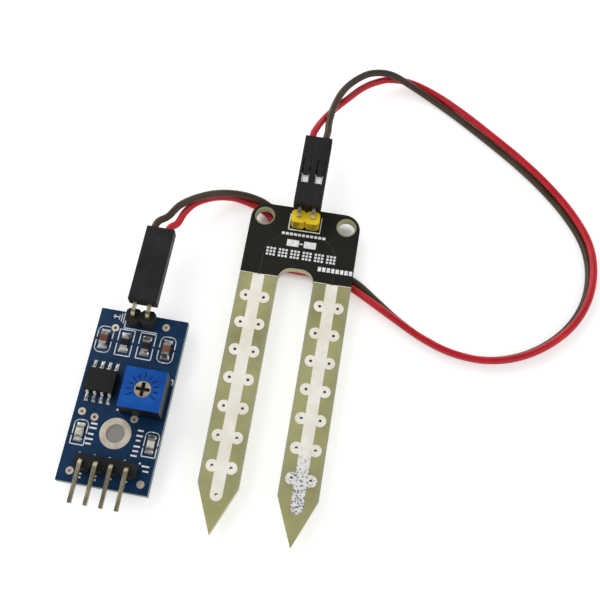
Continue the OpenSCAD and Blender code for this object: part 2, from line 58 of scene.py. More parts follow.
# In mm. The prongs' middles are PRONG_X to each side of the probe's middle, and PIN_Z is the height of
# the plugs' axis above a board's underside.
BOARD_T = 1.6
PRONG_X = 6.6
PIN_Z = 4.9
PROBE_PLUG_Y = -1.2
MODULE_PLUG_AT = (-0.2, 16.2)
MASK_TOP = BOARD_T + 0.09
LIGHTS_AT = ((-5.8, -6.9), (6.3, -6.9))
CHIP_AT = (-4.3, 2.1)
TRIMMER_AT = (3.7, 0.9)
TRIMMER_TOP = BOARD_T + 4.9


def probe(x, y, z):
    """Probe frame in mm to the shared frame: y from the head's edge, z from the board's underside."""
    return PROBE_AT + Vector((x, y, z)) * MM


def module(x, y, z):
    """Comparator board frame in mm to the shared frame: from its middle, z from its underside."""
    return MODULE_AT + MODULE_TURN @ (Vector((x, y, z)) * MM)


def probe_plug(x, y, z):
    return probe(x, y + PROBE_PLUG_Y, z + PIN_Z)


def module_plug(x, y, z):
    return module(x + MODULE_PLUG_AT[0], y + MODULE_PLUG_AT[1], z + PIN_Z)


# ---- camera ----

right = Vector((0.98714, 0.159, 0.01631))
up = Vector((-0.1537, 0.91641, 0.36955))
back = Vector((0.04381, -0.3673, 0.92907))
cam = bpy.data.objects.new("camera", bpy.data.cameras.new("camera"))
bpy.context.scene.collection.objects.link(cam)
turned = Matrix((right, up, back)).transposed().to_4x4()
cam.matrix_world = Matrix.Translation((0.020062, -0.049943, 0.155063)) @ turned
cam.data.sensor_width = 36
cam.data.lens = 55.78
cam.data.clip_start = 0.005
cam.data.clip_end = 5
bpy.context.scene.camera = cam

# ---- materials ----


class Nodes:
    """Short calls for building one node material."""

    def __init__(self, name):
        self.mat = bpy.data.materials.new(name)
        self.mat.use_nodes = True
        self.tree = self.mat.node_tree
        self.bsdf = self.tree.nodes["Principled BSDF"]
        self.place = self.add("TexCoord").outputs["Object"]

    def add(self, kind):
        return self.tree.nodes.new("ShaderNode" + kind)

    def put(self, node, key, value):
        socket = node.inputs[key]
        if isinstance(value, bpy.types.NodeSocket):
            self.tree.links.new(value, socket)
        else:
            socket.default_value = value

    def mapped(self, scale=(1, 1, 1), turn=0.0):
        node = self.add("Mapping")
        self.put(node, "Vector", self.place)
        self.put(node, "Scale", scale)
        self.put(node, "Rotation", (0, 0, turn))
        return node.outputs["Vector"]

    def noise(self, scale, detail=3.0, rough=0.6, vector=None):
        node = self.add("TexNoise")
        self.put(node, "Vector", vector or self.place)
        self.put(node, "Scale", scale)
        self.put(node, "Detail", detail)
        self.put(node, "Roughness", rough)
        return node.outputs["Fac"]

    def wave(self, scale, vector, distortion=0.0, detail_scale=1.0):
        node = self.add("TexWave")
        self.put(node, "Vector", vector)
        self.put(node, "Scale", scale)
        self.put(node, "Distortion", distortion)
        self.put(node, "Detail Scale", detail_scale)
        return node.outputs["Fac"]

    def cells(self, scale, vector=None):
        node = self.add("TexVoronoi")
        self.put(node, "Vector", vector or self.place)
        self.put(node, "Scale", scale)
        return node.outputs["Distance"]

    def span(self, value, a, b, c=0.0, d=1.0):
        """Value from a to b, mapped to c to d and held at its ends."""
        node = self.add("MapRange")
        self.put(node, "Value", value)
        for key, x in (("From Min", a), ("From Max", b), ("To Min", c), ("To Max", d)):
            self.put(node, key, x)
        return node.outputs["Result"]

    def mix(self, factor, a, b):
        """Colour a where factor is 0 and b where it is 1."""
        node = self.add("Mix")
        node.data_type = "RGBA"
        self.put(node, 0, factor)
        self.put(node, 6, a)
        self.put(node, 7, b)
        return node.outputs[2]

    def math(self, operation, a, b=0.0):
        node = self.add("Math")
        node.operation = operation
        self.put(node, 0, a)
        self.put(node, 1, b)
        return node.outputs[0]

    def apart(self, vector):
        node = self.add("SeparateXYZ")
        self.put(node, 0, vector)
        return node.outputs

    def normal(self):
        return self.apart(self.add("NewGeometry").outputs["Normal"])

    def finish(self, color, rough, bump=(), bevel=0.0, **sockets):
        """bump is a list of (height socket, distance in metres)."""
        self.put(self.bsdf, "Base Color", color)
        self.put(self.bsdf, "Roughness", rough)
        normal = None
        if bevel:
            node = self.add("Bevel")
            node.samples = 4
            self.put(node, "Radius", bevel)
            normal = node.outputs["Normal"]
        for height, distance in bump:
            node = self.add("Bump")
            self.put(node, "Height", height)
            self.put(node, "Distance", distance)
            if normal:
                self.put(node, "Normal", normal)
            normal = node.outputs["Normal"]
        if normal:
            self.put(self.bsdf, "Normal", normal)
        for key, value in sockets.items():
            self.put(self.bsdf, key.replace("_", " "), value)
        return self.mat


def rgb(r, g, b):
    """Display colour, 0 to 255, as a linear colour."""
    linear = [c / 255 / 12.92 if c < 10.3 else ((c / 255 + 0.055) / 1.055) ** 2.4 for c in (r, g, b)]
    return (*linear, 1.0)


def off_middle(n, middle):
    """Distance across the probe from a line at this x."""
    return n.math("ABSOLUTE", n.math("SUBTRACT", n.apart(n.place)[0], middle))


def laminate():
    n = Nodes("glass_epoxy")
    warp = n.wave(640, n.mapped(), 1.6, 2.0)
    weft = n.wave(640, n.mapped(turn=math.pi / 2), 1.6, 2.0)
    weave = n.math("MULTIPLY", warp, weft)
    cloud = n.span(n.noise(90, 4), 0.35, 0.65)
    tone = n.mix(cloud, rgb(136, 134, 90), rgb(166, 163, 112))
    tone = n.mix(n.math("MULTIPLY", weave, 0.08), tone, rgb(176, 176, 140))
    across = n.math("ABSOLUTE", n.math("SUBTRACT", off_middle(n, PROBE_AT.x), PRONG_X * MM))
    rim = n.span(n.math("ADD", across, n.math("MULTIPLY", n.noise(400), 0.0007)), 0.0029, 0.0038)
    tone = n.mix(n.math("MULTIPLY", rim, 0.6), tone, rgb(150, 156, 136))
    side = n.span(n.math("ABSOLUTE", n.normal()[2]), 0.3, 0.7, 1.0, 0.0)
    fibres = n.wave(3800, n.mapped((0.0, 0.0, 1.0)), 3.0, 2.0)
    edge = n.mix(n.math("MULTIPLY", fibres, 0.5), rgb(176, 172, 138), rgb(128, 124, 92))
    tone = n.mix(side, tone, edge)
    rough = n.span(n.noise(1500, 2), 0.3, 0.7, 0.42, 0.6)
    return n.finish(tone, rough, [(weave, 4e-6), (n.noise(9000, 2), 3e-6)], 4e-5,
                    Subsurface_Weight=0.15, Subsurface_Scale=0.0004, Specular_IOR_Level=0.4)


def mask_black():
    n = Nodes("black_mask")
    fine = n.noise(2600, 3)
    tone = n.mix(n.span(n.noise(160, 4), 0.3, 0.7), rgb(25, 25, 20), rgb(35, 34, 28))
    speck = n.span(n.noise(5200, 1), 0.72, 0.78)
    tone = n.mix(n.math("MULTIPLY", speck, 0.35), tone, rgb(92, 90, 84))
    rough = n.span(n.noise(500, 4), 0.3, 0.7, 0.38, 0.55)
    return n.finish(tone, rough, [(fine, 5e-6)], 3e-5, Specular_IOR_Level=0.14)


def hole_wall_painted_shade(n, tone):
    """Painted shade: the plated walls of the via holes, between the board's faces, are coloured dark."""
    z = n.math("SUBTRACT", n.apart(n.place)[2], PROBE_AT.z)
    inside = n.math("MULTIPLY", n.span(z, 0.00002, 0.00006), n.span(z, 0.00152, 0.00157, 1.0, 0.0))
    return n.mix(inside, tone, n.mix(n.noise(3000, 3), rgb(44, 40, 34), rgb(78, 72, 62)))


def clean_tin(n, grain):
    tone = n.mix(n.span(n.noise(260, 5), 0.35, 0.65), rgb(238, 232, 215), rgb(252, 249, 240))
    return n.mix(n.math("MULTIPLY", n.span(grain, 0.52, 0.7), 0.25), tone, rgb(196, 186, 172))


def tin():
    n = Nodes("tin_plating")
    grain = n.noise(4200, 4)
    tone = clean_tin(n, grain)
    blush = n.span(n.noise(120, 3, vector=n.mapped((1, 0.5, 1))), 0.5, 0.75)
    tone = n.mix(n.math("MULTIPLY", blush, 0.2), tone, rgb(230, 216, 206))
    rough = n.span(grain, 0.3, 0.7, 0.42, 0.62)
    return n.finish(hole_wall_painted_shade(n, tone), rough, [(grain, 5e-6), (n.noise(600, 3), 8e-6)], 3e-5, Metallic=0.3)


def tin_worn():
    """The right strip: its end has been eaten by the soil."""
    n = Nodes("tin_plating_worn")
    grain = n.noise(4200, 4)
    tone = clean_tin(n, grain)
    y = n.math("SUBTRACT", n.apart(n.place)[1], PROBE_AT.y)
    ragged = n.math("ADD", y, n.math("MULTIPLY", n.noise(900, 5), 0.004))
    away = off_middle(n, PROBE_AT.x + PRONG_X * MM)
    near_end = n.span(ragged, -0.0465, -0.041, 1.0, 0.0)
    eaten = n.math("MULTIPLY", near_end, n.span(away, 0.0013, 0.002, 1.0, 0.5))
    dots = n.span(n.cells(2300), 0.3, 0.52, 1.0, 0.0)
    pits = n.math("MULTIPLY", dots, n.span(n.noise(1100, 4), 0.34, 0.54, 0.35, 1.0))
    pits = n.math("MULTIPLY", pits, eaten)
    tone = n.mix(n.math("MULTIPLY", eaten, 0.7), tone, rgb(218, 219, 222))
    tone = n.mix(n.math("MULTIPLY", pits, 0.9), tone, rgb(88, 93, 108))
    last = n.span(ragged, -0.0535, -0.0515, 1.0, 0.0)
    blotches = n.math("MULTIPLY", last, n.span(n.noise(700, 4), 0.4, 0.62, 0.1, 0.6))
    tone = n.mix(blotches, tone, rgb(140, 142, 150))
    rough = n.span(eaten, 0.0, 1.0, 0.5, 0.75)
    return n.finish(hole_wall_painted_shade(n, tone), rough, [(grain, 5e-6), (pits, 1.5e-5)], 3e-5, Metallic=0.3)


def metal(name, light, dark, metallic=0.9, low=0.22, high=0.4, stretch=(1, 1, 1), grain=2600,
          depth=3e-6):
    n = Nodes(name)
    cloud = n.noise(420, 4, vector=n.mapped(stretch))
    fine = n.noise(grain, 3, vector=n.mapped(stretch))
    tone = n.mix(n.span(cloud, 0.35, 0.65), dark, light)
    tone = n.mix(n.math("MULTIPLY", n.span(fine, 0.6, 0.75), 0.3), tone, dark)
    return n.finish(tone, n.span(fine, 0.3, 0.7, low, high), [(fine, depth)], 5e-5, Metallic=metallic)


def plastic(name, light, dark, low, high, depth=6e-6, grain=3800, bevel=6e-5):
    n = Nodes(name)
    cloud = n.noise(240, 4)
    fine = n.noise(grain, 3)
    tone = n.mix(n.span(cloud, 0.35, 0.65), dark, light)
    dust = n.span(n.noise(6400, 1), 0.74, 0.8)
    tone = n.mix(n.math("MULTIPLY", dust, 0.25), tone, rgb(150, 148, 140))
    rough = n.span(n.noise(900, 3), 0.3, 0.7, low, high)
    return n.finish(tone, rough, [(fine, depth)], bevel, Specular_IOR_Level=0.16)


def header_yellow():
    n = Nodes("yellow_plastic")
    fine = n.noise(3800, 3)
    tone = n.mix(n.span(n.noise(420, 4), 0.35, 0.65), rgb(216, 176, 6), rgb(242, 216, 30))
    # painted shade: the front face, turned away from the key light, is mixed towards dark olive, in blotches
    front_painted_shade = n.span(n.normal()[1], -0.9, -0.5, 1.0, 0.0)
    blotches = n.span(n.noise(900, 5, vector=n.mapped((1, 1, 0.35))), 0.4, 0.62)
    tone = n.mix(n.math("MULTIPLY", front_painted_shade, n.span(blotches, 0.0, 1.0, 0.25, 0.85)), tone, rgb(116, 98, 20))
    rough = n.span(n.noise(900, 3), 0.3, 0.7, 0.34, 0.48)
    return n.finish(tone, rough, [(fine, 6e-6)], 6e-5, Specular_IOR_Level=0.35)


def insulation(name, light, dark):
    n = Nodes(name)
    cloud = n.noise(150, 4)
    tone = n.mix(n.span(cloud, 0.3, 0.7), dark, light)
    scuff = n.span(n.noise(1300, 5, 0.75), 0.62, 0.75)
    tone = n.mix(n.math("MULTIPLY", scuff, 0.3), tone, light)
    rough = n.span(n.noise(700, 3), 0.3, 0.7, 0.26, 0.42)
    return n.finish(tone, rough, [(n.noise(1800, 3), 1e-5), (n.noise(350, 2), 2.5e-5)], 0.0,
                    Subsurface_Weight=0.08, Subsurface_Scale=0.0006, Specular_IOR_Level=0.28,
                    Coat_Weight=0.08, Coat_Roughness=0.2)


def board_blue():
    n = Nodes("blue_board")
    cloud = n.noise(170, 4)
    tone = n.mix(n.span(cloud, 0.35, 0.65), rgb(12, 44, 76), rgb(20, 60, 96))
    # where there is no copper under the mask, it is a little darker
    tracks = n.span(n.cells(330, n.mapped(turn=math.radians(47))), 0.25, 0.3)
    tone = n.mix(n.math("MULTIPLY", tracks, 0.22), tone, rgb(8, 32, 60))
    side = n.span(n.math("ABSOLUTE", n.normal()[2]), 0.3, 0.7, 1.0, 0.0)
    layers = n.wave(3800, n.mapped((0.0, 0.0, 1.0)), 3.0, 2.0)
    tone = n.mix(side, tone, n.mix(layers, rgb(72, 92, 84), rgb(34, 66, 84)))
    rough = n.span(n.noise(700, 3), 0.3, 0.7, 0.24, 0.4)
    bumps = [(tracks, 3e-6), (n.noise(2400, 3), 3e-6)]
    return n.finish(tone, rough, bumps, 4e-5, Specular_IOR_Level=0.2)


def trimmer_blue():
    n = Nodes("blue_plastic")
    fine = n.noise(3000, 3)
    tone = n.mix(n.span(n.noise(260, 4), 0.35, 0.65), rgb(18, 68, 144), rgb(28, 86, 170))
    speck = n.span(n.noise(5200, 1), 0.7, 0.78)
    tone = n.mix(n.math("MULTIPLY", speck, 0.3), tone, rgb(12, 44, 108))
    # painted shade: faces other than the top are coloured near black, though the trimmer is blue all over
    side = n.span(n.normal()[2], 0.3, 0.7, 1.0, 0.0)
    tone = n.mix(side, tone, n.mix(n.noise(500, 3), rgb(10, 14, 22), rgb(20, 26, 34)))
    rough = n.span(fine, 0.3, 0.7, 0.3, 0.46)
    return n.finish(tone, rough, [(fine, 5e-6)], 8e-5, Specular_IOR_Level=0.08)


def rotor():
    n = Nodes("rotor_metal")
    fine = n.noise(1800, 3)
    tone = n.mix(n.span(n.noise(420, 4), 0.35, 0.65), rgb(150, 138, 116), rgb(206, 196, 176))
    top = MODULE_AT.z + TRIMMER_TOP * MM
    # painted shade: the rotor's metal below its top, in the cross slot, is coloured near black
    slot_painted_shade = n.span(n.apart(n.place)[2], top - 0.00065, top - 0.00015, 1.0, 0.0)
    tone = n.mix(slot_painted_shade, tone, rgb(34, 26, 22))
    return n.finish(tone, n.span(fine, 0.3, 0.7, 0.34, 0.55), [(fine, 8e-6)], 5e-5, Metallic=0.5)


def silk():
    n = Nodes("board_print")
    tone = n.mix(n.span(n.noise(1600, 4), 0.35, 0.65), rgb(206, 210, 212), rgb(244, 246, 246))
    return n.finish(tone, 0.55, [(n.noise(5000, 2), 4e-6)])


def lens():
    n = Nodes("led_lens")
    tone = n.mix(n.span(n.noise(900, 3), 0.3, 0.7), rgb(226, 224, 208), rgb(250, 248, 240))
    return n.finish(tone, 0.12, [(n.noise(900, 2), 4e-6)], 0.0, Transmission_Weight=0.45, IOR=1.5,
                    Coat_Weight=0.5, Subsurface_Weight=0.2, Subsurface_Scale=0.0005)


MATS = {
    "glass_epoxy": laminate(),
    "black_mask": mask_black(),
    "tin_plating": tin(),
    "tin_worn": tin_worn(),
    "solder": metal("solder", rgb(206, 206, 204), rgb(150, 148, 144), 0.85, 0.16, 0.34, depth=6e-6),
    "pin_metal": metal("pin_metal", rgb(200, 190, 162), rgb(128, 116, 94),
                       0.92, 0.22, 0.38, (1, 0.2, 1)),
    "socket_metal": metal("socket_metal", rgb(254, 254, 252), rgb(240, 239, 236), 0.05, 0.3, 0.45),
    "ring_metal": metal("ring_metal", rgb(226, 214, 198), rgb(196, 184, 168), 0.6, 0.34, 0.5, grain=3600,
                        depth=6e-6),
    "yellow_plastic": header_yellow(),
    "black_plastic": plastic("black_plastic", rgb(38, 37, 38), rgb(24, 23, 24), 0.42, 0.6),
    "red_insulation": insulation("red_insulation", rgb(196, 28, 44), rgb(160, 12, 26)),
    "brown_insulation": insulation("brown_insulation", rgb(72, 58, 40), rgb(48, 38, 26)),
    "blue_board": board_blue(),
    "chip_plastic": plastic("chip_plastic", rgb(38, 36, 33), rgb(27, 26, 24), 0.5, 0.68, 8e-6, 5200, 1.2e-4),
    "capacitor_ceramic": plastic("capacitor_ceramic", rgb(140, 88, 64), rgb(96, 60, 46), 0.45, 0.6),
    "resistor_glaze": plastic("resistor_glaze", rgb(40, 38, 36), rgb(22, 21, 20), 0.25, 0.4),
    "led_white": plastic("led_white", rgb(236, 234, 222), rgb(210, 206, 190), 0.35, 0.5),
    "led_lens": lens(),
    "blue_plastic": trimmer_blue(),
    "cream_plastic": plastic("cream_plastic", rgb(214, 204, 176), rgb(184, 172, 142), 0.45, 0.6),
    "carbon_film": plastic("carbon_film", rgb(44, 40, 40), rgb(26, 24, 24), 0.55, 0.7),
    "rotor_metal": rotor(),
    "spring_bronze": metal("spring_bronze", rgb(206, 150, 96), rgb(158, 108, 66), 0.9, 0.25, 0.4),
    "print": silk(),
    "mask_raised": plastic("mask_raised", rgb(50, 48, 44), rgb(38, 36, 33), 0.34, 0.46, 3e-6),
    "scale_ink": plastic("scale_ink", rgb(10, 26, 66), rgb(8, 20, 52), 0.4, 0.5),
}
SLOT_OF = {s["node"]: s["material_slot"] for s in frame["record"]["subparts"]}

for name, node in nodes.items():
    look = SLOT_OF[name]
    if name == "electrode_right":
        look = "tin_worn"
    if name in ("mounting_hole_plating", "via_platings"):
        look = "ring_metal"
    node.data.materials.clear()
    node.data.materials.append(MATS[look])

# ---- mesh helpers ----


def piece(name, verts, faces, look, body, smooth=True):
    mesh = bpy.data.meshes.new(name)
    mesh.from_pydata([tuple(v) for v in verts], [], faces)
    mesh.validate()
    mesh.polygons.foreach_set("use_smooth", [smooth] * len(mesh.polygons))
    obj = bpy.data.objects.new(name, mesh)
    bpy.context.scene.collection.objects.link(obj)
    obj.data.materials.append(MATS[look])
    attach(obj, body)
    return obj


def sweep(points, radius, sides):
    """A round tube along points, closed at both ends."""
    verts, faces = [], []
    n = len(points)
    for i, p in enumerate(points):
        ahead = (points[min(i + 1, n - 1)] - points[max(i - 1, 0)]).normalized()
        side = ahead.cross(Vector((0, 0, 1))).normalized()
        above = side.cross(ahead)
        for k in range(sides):
            a = 2 * math.pi * k / sides
            verts.append(p + radius * (math.cos(a) * side + math.sin(a) * above))
    for i in range(n - 1):
        for k in range(sides):
            a, b = i * sides + k, i * sides + (k + 1) % sides
            faces.append((a, b, b + sides, a + sides))
    faces.append(tuple(range(sides - 1, -1, -1)))
    faces.append(tuple((n - 1) * sides + k for k in range(sides)))
    return verts, faces


def curve_through(points, steps):
    """A smooth curve through all the points, with this many steps between each two."""
    out = []
    n = len(points)
    for i in range(n - 1):
        p0, p1, p2, p3 = points[max(i - 1, 0)], points[i], points[i + 1], points[min(i + 2, n - 1)]
        for j in range(steps):
            t = j / steps
            out.append(0.5 * ((2 * p1) + (p2 - p0) * t + (2 * p0 - 5 * p1 + 4 * p2 - p3) * t * t
                              + (3 * p1 - p0 - 3 * p2 + p3) * t ** 3))
    out.append(points[-1])
    return out


# ---- the cable ----
# Its middle line, in metres: x, y, height under the lower wire, the pair's roll in degrees, and half the
# distance between the two wires. HALF is where they are bonded.

HALF = 0.00066
ROUTE = [
    (-0.0117, 0.0203, 0.0056, 0, 0.0011),
    (-0.0106, 0.0229, 0.0047, 40, 0.0008),
    (-0.0088, 0.0256, 0.0033, 75, HALF),
    (-0.006, 0.028, 0.0016, 85, HALF),
    (-0.0028, 0.0292, 0.0004, 80, HALF),
    (0.0004, 0.0291, 0, 55, HALF),
    (0.0032, 0.0283, 0, 20, HALF),
    (0.0053, 0.0268, 0, 0, HALF),
    (0.0064, 0.0245, 0, 0, HALF),
    (0.0067, 0.022, 0, 0, HALF),
    (0.0072, 0.0195, 0, 0, HALF),
    (0.0086, 0.0177, 0, 0, HALF),
    (0.0111, 0.01725, 0, 0, HALF),
    (0.0143, 0.0173, 0, 0, HALF),
    (0.0181, 0.017, 0, 0, HALF),
    (0.0221, 0.0153, 0, -5, HALF),
    (0.026, 0.0127, 0, -40, HALF),
    (0.0304, 0.0098, 0, -65, HALF),
    (0.0352, 0.0072, 0, -70, HALF),
    (0.0405, 0.0054, 0, -70, HALF),
    (0.0461, 0.005, 0, -70, HALF),
    (0.0515, 0.0063, 0, -70, HALF),
    (0.0566, 0.0093, 0, -70, HALF),
    (0.0608, 0.0137, 0, -70, HALF),
    (0.0633, 0.0189, 0, -70, HALF),
    (0.064, 0.0247, 0, -65, HALF),
    (0.0628, 0.0304, 0, -55, HALF),
    (0.0594, 0.0359, 0, -50, HALF),
    (0.0546, 0.0411, 0, -45, HALF),
    (0.0491, 0.0458, 0, -40, HALF),
    (0.0432, 0.0501, 0, -40, HALF),
    (0.0373, 0.0542, 0, -30, HALF),
    (0.032, 0.0575, 0.0001, -5, HALF),
    (0.0271, 0.0592, 0.0006, 35, 0.0007),
    (0.0229, 0.0593, 0.0014, 90, 0.00085),
    (0.0195, 0.0579, 0.0023, 130, 0.001),
    (0.0169, 0.0554, 0.0032, 145, 0.001),
    (0.0148, 0.0521, 0.0039, 135, 0.0009),
    (0.0131, 0.0487, 0.0041, 85, 0.0007),
    (0.0121, 0.0456, 0.0047, 30, 0.0008),
    (0.0117, 0.043, 0.0056, 0, 0.00115),
]
WIRE_R = 0.00065
START_Y, PLUG_L, EXIT_L, PITCH = 10.9, 14.0, 0.8, 2.54


def entry(point):
    """A row of the route inside a plug, where the wires are a pin's pitch apart."""
    return (point.x, point.y, point.z - WIRE_R, 0, PITCH / 2 * MM)


route = [entry(module_plug(0, y, 0)) for y in (START_Y, PLUG_L + EXIT_L)]
route += ROUTE
route += [entry(probe_plug(0, y, 0)) for y in (PLUG_L + EXIT_L, START_Y)]


def wire_points(side):
    """The middle line of the wire on this side of the pair, -1 or 1."""
    out = []
    for i, (x, y, lift, roll, half) in enumerate(route):
        a, b = route[max(i - 1, 0)], route[min(i + 1, len(route) - 1)]
        ahead = Vector((b[0] - a[0], b[1] - a[1], 0)).normalized()
        left = Vector((-ahead.y, ahead.x, 0))
        roll = math.radians(roll)
        middle = Vector((x, y, lift + WIRE_R + half * abs(math.sin(roll))))
        out.append(middle + side * half * (math.cos(roll) * left + Vector((0, 0, math.sin(roll)))))
    return out


def wire(name, side, look, node):
    line = curve_through(wire_points(side), 8)
    verts, faces = sweep(line, WIRE_R, 24)
    obj = piece(name, verts, faces, look, "cable")
    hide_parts(node)
    return obj


wire("red_wire", -1, "red_insulation", "wire_red")
wire("brown_wire", 1, "brown_insulation", "wire_brown")

# ---- printed marks ----


class Print:
    """White marks, each a thin raised strip on a board's face."""

    def __init__(self, place, z, thick=0.03):
        self.place, self.z, self.thick = place, z, thick
        self.verts, self.faces = [], []

    def prism(self, outline):
        base = len(self.verts)
        n = len(outline)
        for z in (self.z, self.z + self.thick):
            self.verts += [self.place(x, y, z) for x, y in outline]
        self.faces.append(tuple(range(base + n, base + 2 * n)))
        self.faces.append(tuple(range(base + n - 1, base - 1, -1)))
        for k in range(n):
            a, b = base + k, base + (k + 1) % n
            self.faces.append((a, b, b + n, a + n))

    def line(self, points, width):
        """Strips between the points, each a little longer than its two ends so that corners close."""
        k = 0.6
        for (ax, ay), (bx, by) in zip(points, points[1:]):
            d = Vector((bx - ax, by - ay)).normalized() * width / 2
            e = Vector((-d.y, d.x))
            self.prism([(ax - d.x * k + e.x, ay - d.y * k + e.y), (ax - d.x * k - e.x, ay - d.y * k - e.y),
                        (bx + d.x * k - e.x, by + d.y * k - e.y), (bx + d.x * k + e.x, by + d.y * k + e.y)])

    def dot(self, x, y, r, sides=14):
        self.prism(arc(x, y, r, 0, 360, sides)[:-1])

    def make(self, name, look, body, slot=None):
        return piece(name, self.verts, self.faces, look, body, smooth=False)


def arc(x, y, r, a, b, steps):
    return [(x + r * math.cos(math.radians(a + (b - a) * k / steps)),
             y + r * math.sin(math.radians(a + (b - a) * k / steps))) for k in range(steps + 1)]


marks = Print(module, BOARD_T)
# outlines round the four small parts: middle, half width, half length and half the gap in each side
W = 0.17
SMALL = [(-5.9, "round"), (-2.25, "square"), (1.45, "square"), (5.1, "round")]
SMALL_Y = 9.65
for x, kind in SMALL:
    hw, hl, gap = 1.32, 2.35, 0.28
    for s in (-1, 1):
        if kind == "square":
            marks.line([(x - hw, SMALL_Y + s * gap), (x - hw, SMALL_Y + s * hl), (x + hw, SMALL_Y + s * hl),
                        (x + hw, SMALL_Y + s * gap)], W)
        else:
            r = 0.9
            start, end = (180, 90) if s > 0 else (180, 270)
            curve = [(x - hw, SMALL_Y + s * gap)]
            curve += arc(x - hw + r, SMALL_Y + s * (hl - r), r, start, end, 5)
            start, end = (90, 0) if s > 0 else (270, 360)
            curve += arc(x + hw - r, SMALL_Y + s * (hl - r), r, start, end, 5)
            curve += [(x + hw, SMALL_Y + s * gap)]
            marks.line(curve, W)
# outlines round the two lights
for x, y in LIGHTS_AT:
    hw, hl, r = 1.15, 2.1, 0.75
    marks.line([(x - hw, y - 0.35), (x - hw, y + hl - r)] + arc(x - hw + r, y + hl - r, r, 180, 90, 5)
               + arc(x + hw - r, y + hl - r, r, 90, 0, 5) + [(x + hw, y - 0.1)], W)
    marks.line([(x - hw, y - 0.75), (x - hw, y - hl), (x + hw, y - hl), (x + hw, y - 0.5)], W)
# input header: an open corner and the ground sign
marks.line([(-3.05, 15.1), (-3.05, 12.3), (2.75, 12.3)], W)
marks.line([(-3.45, 15.0), (-3.45, 13.1)], W)
marks.line([(-3.85, 14.75), (-3.85, 13.4)], W)
marks.line([(-4.25, 14.45), (-4.25, 13.7)], W)
marks.line([(-4.25, 14.1), (-5.35, 14.1)], W)
marks.line([(-5.0, 14.4), (-5.35, 14.1), (-5.0, 13.8)], W)
# trimmer corner, chip's first lead, and the output header's dots and corner
marks.line([(7.05, 4.55), (7.45, 4.55), (7.45, 3.7)], 0.2)
marks.dot(-0.75, 0.1, 0.16)
marks.dot(-0.55, -2.1, 0.2)
for k in range(5):
    marks.dot(0.2 + (k - 2) * PITCH, -10.25, 0.17)
# short bars where the lettering is: middle, length and width
BARS = [(-3.75, -5.1, 0.9, 0.3), (-3.8, -5.85, 1.1, 0.3), (-3.9, -6.9, 0.8, 0.3), (-3.95, -7.75, 1.1, 0.3),
        (-3.95, -8.55, 0.8, 0.3), (4.15, -4.9, 0.8, 0.3), (4.15, -5.8, 0.9, 0.3), (4.1, -6.6, 0.6, 0.3),
        (4.1, -7.6, 0.9, 0.3), (4.05, -8.4, 0.8, 0.3), (3.95, -9.2, 0.9, 0.3), (6.3, -10.6, 1.1, 0.28),
        (6.5, -11.4, 0.8, 0.28)]
for k, rows in enumerate((3, 3, 2, 2)):
    BARS += [(-3.9 + PITCH * k, -13 - 0.6 * i, 0.3, 0.26) for i in range(rows)]
for x, y, w, tall in BARS:
    marks.line([(x - w / 2, y), (x + w / 2, y)], tall)
marks.make("module_print", "print", "comparator_module")

head = Print(probe, MASK_TOP)
# header outline and its end bar
head.line([(-2.85, -4.45), (-2.85, -1.4)], 0.2)
head.line([(-2.85, -4.5), (2.85, -4.5)], 0.22)
head.line([(2.85, -4.45), (2.85, -1.4)], 0.12)
# rows of plain blocks where the lettering is
for k in range(11):
    head.line([(-3.75 + 0.74 * k, -5.4), (-3.5 + 0.74 * k, -5.4)], 0.5)
for x, w, tall in ((-2.3, 0.3, 1.3), (-1.2, 0.3, 1.3), (-0.35, 0.5, 0.24), (0.8, 0.3, 1.3), (1.9, 0.3, 1.3)):
    head.line([(x, -7.15), (x + w, -7.15)], tall)
for k in range(6):
    for i in range(3):
        for j in range(3):
            x, y = -5.95 + 2.18 * k + 0.61 * i, -8.74 - 0.61 * j
            head.line([(x, y), (x + 0.17, y)], 0.4)
for k in range(8):
    head.line([(3.85 + 0.8 * k, -11.42), (3.93 + 0.8 * k, -11.42)], 0.85)
head.make("probe_print", "print", "probe")

# copper tracks that lift the head's mask a little
tracks = Print(probe, MASK_TOP + 0.005, 0.012)
tracks.line([(-1.27, -3.9), (-1.8, -5.0), (-3.6, -5.6), (-5.6, -7.2), (-6.5, -9.2), (-PRONG_X, -14.0)], 0.32)
tracks.line([(1.27, -3.9), (3.2, -5.4), (5.3, -6.6), (6.5, -8.8), (PRONG_X, -14.0)], 0.32)
tracks.make("head_tracks", "mask_raised", "probe", "black_mask")

# ---- the mask's pale edge, beside the strips ----

rim = Print(probe, BOARD_T, 0.1)
for side in (-1, 1):
    for near, far in ((3.25, 5.5), (7.7, 9.95)):
        rim.line([(side * near, -14.03), (side * far, -14.03)], 0.1)
rim.make("mask_edge", "tin_plating", "probe")

# ---- solder ----


class Mounds:
    """Fillets of solder, each a grid over a rectangle with its own height, in mm."""

    def __init__(self, place):
        self.place = place
        self.verts, self.faces = [], []

    def add(self, x0, x1, y0, y1, z0, height, nx=8, ny=8):
        """height takes u and v, 0 to 1 across the rectangle, and gives the height above z0."""
        base = len(self.verts)
        for j in range(ny + 1):
            for i in range(nx + 1):
                u, v = i / nx, j / ny
                z = z0 + max(0.0, height(u, v))
                self.verts.append(self.place(x0 + (x1 - x0) * u, y0 + (y1 - y0) * v, z))
        for j in range(ny):
            for i in range(nx):
                a = base + j * (nx + 1) + i
                self.faces.append((a, a + 1, a + nx + 2, a + nx + 1))

    def make(self, name, look, body, slot):
        return piece(name, self.verts, self.faces, look, body)


joints = Mounds(module)


def rounded(u):
    """One in the middle of a pad and zero at its two sides."""
    return max(0.0, 1 - (2 * abs(u - 0.5)) ** 4) ** 0.5


